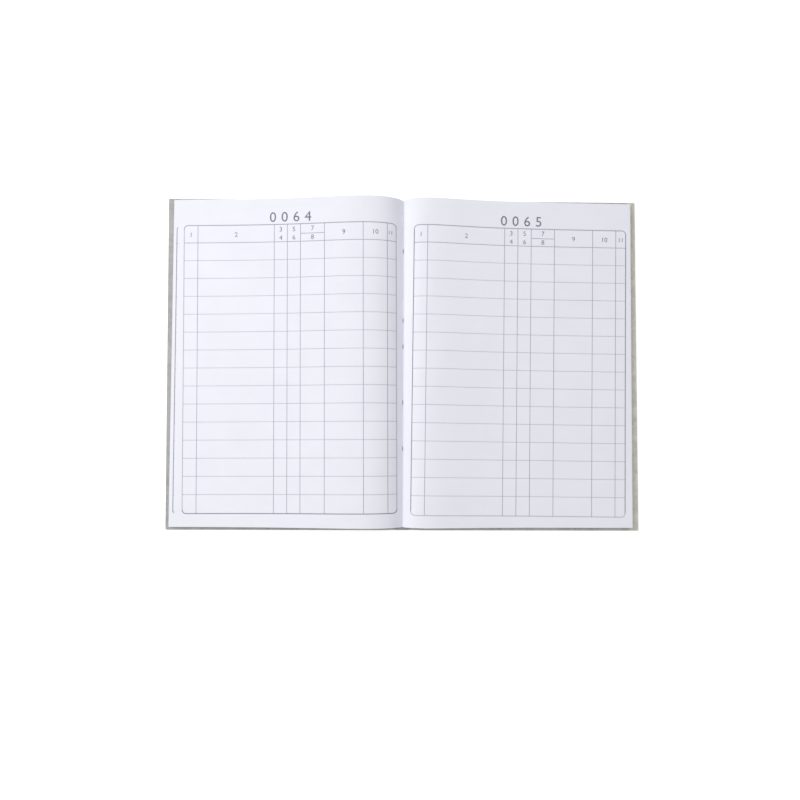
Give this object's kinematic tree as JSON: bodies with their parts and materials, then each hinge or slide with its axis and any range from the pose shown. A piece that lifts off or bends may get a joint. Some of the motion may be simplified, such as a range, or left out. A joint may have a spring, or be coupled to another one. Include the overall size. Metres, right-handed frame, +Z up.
{
  "type": "log book",
  "caption": "Hard-bound ruled log book lying open flat: cloth case with boards, sewn text block, hinged covers and turning leaves.",
  "frame": {"origin": "on the table, under the middle of the spine, half way between head and tail", "axes": "+X across the spread towards the back cover, +Y towards the head of the page, +Z up from the table"},
  "size_m": [0.432, 0.3034, 0.0193],
  "materials": {
    "book_cloth": "woven book cloth, matt",
    "greyboard": "pressed greyboard",
    "endpaper": "uncoated endpaper",
    "ledger_paper": "smooth uncoated ledger paper with plain ruling",
    "spine_lining": "kraft lining over gauze",
    "sewing_thread": "linen thread"
  },
  "bodies": {
    "spine": {"spine_cloth": "book_cloth", "spine_inlay": "greyboard", "spine_lining": "spine_lining", "middle_section_fold": "ledger_paper", "stitch_1": "sewing_thread", "stitch_2": "sewing_thread", "stitch_3": "sewing_thread", "stitch_4": "sewing_thread", "stitch_5": "sewing_thread"},
    "front_cover": {"front_cover_cloth": "book_cloth", "front_board": "greyboard", "front_pastedown": "endpaper"},
    "back_cover": {"back_cover_cloth": "book_cloth", "back_board": "greyboard", "back_pastedown": "endpaper"},
    "front_block": {"front_flyleaf": "endpaper", "front_section_1": "ledger_paper", "front_section_2": "ledger_paper", "front_section_3": "ledger_paper", "front_section_4": "ledger_paper", "front_section_5": "ledger_paper", "front_under_leaf": "ledger_paper"},
    "back_block": {"back_flyleaf": "endpaper", "back_section_1": "ledger_paper", "back_section_2": "ledger_paper", "back_section_3": "ledger_paper", "back_section_4": "ledger_paper", "back_section_5": "ledger_paper", "back_under_leaf": "ledger_paper"},
    "front_leaf": {"front_top_leaf": "ledger_paper"},
    "back_leaf": {"back_top_leaf": "ledger_paper"}
  },
  "joints": [
    {"name": "front_cover_hinge", "type": "hinge", "parent": "spine", "child": "front_cover", "pos_m": [-0.007, 0, 0.0002], "axis": [0, -1, 0], "range_deg": [-90, 0]},
    {"name": "back_cover_hinge", "type": "hinge", "parent": "spine", "child": "back_cover", "pos_m": [0.007, 0, 0.0002], "axis": [0, 1, 0], "range_deg": [-90, 0]},
    {"name": "front_block_turn", "type": "hinge", "parent": "spine", "child": "front_block", "pos_m": [-0.0036, 0, 0.0036], "axis": [0, -1, 0], "range_deg": [-90, 0], "deforming": ["front_section_4", "front_section_5", "front_under_leaf"]},
    {"name": "back_block_turn", "type": "hinge", "parent": "spine", "child": "back_block", "pos_m": [0.0036, 0, 0.0036], "axis": [0, 1, 0], "range_deg": [-90, 0], "deforming": ["back_section_4", "back_section_5", "back_under_leaf"]},
    {"name": "front_leaf_turn", "type": "hinge", "parent": "front_block", "child": "front_leaf", "pos_m": [-0.01, 0, 0.014], "axis": [0, 1, 0], "range_deg": [0, 165], "deforming": ["front_top_leaf"]},
    {"name": "back_leaf_turn", "type": "hinge", "parent": "back_block", "child": "back_leaf", "pos_m": [0.01, 0, 0.0131], "axis": [0, -1, 0], "range_deg": [0, 165], "deforming": ["back_top_leaf"]}
  ],
  "couplings": [
    {"joint": "front_block_turn", "follows": "front_cover_hinge", "ratio": 1},
    {"joint": "back_block_turn", "follows": "back_cover_hinge", "ratio": 1}
  ]
}
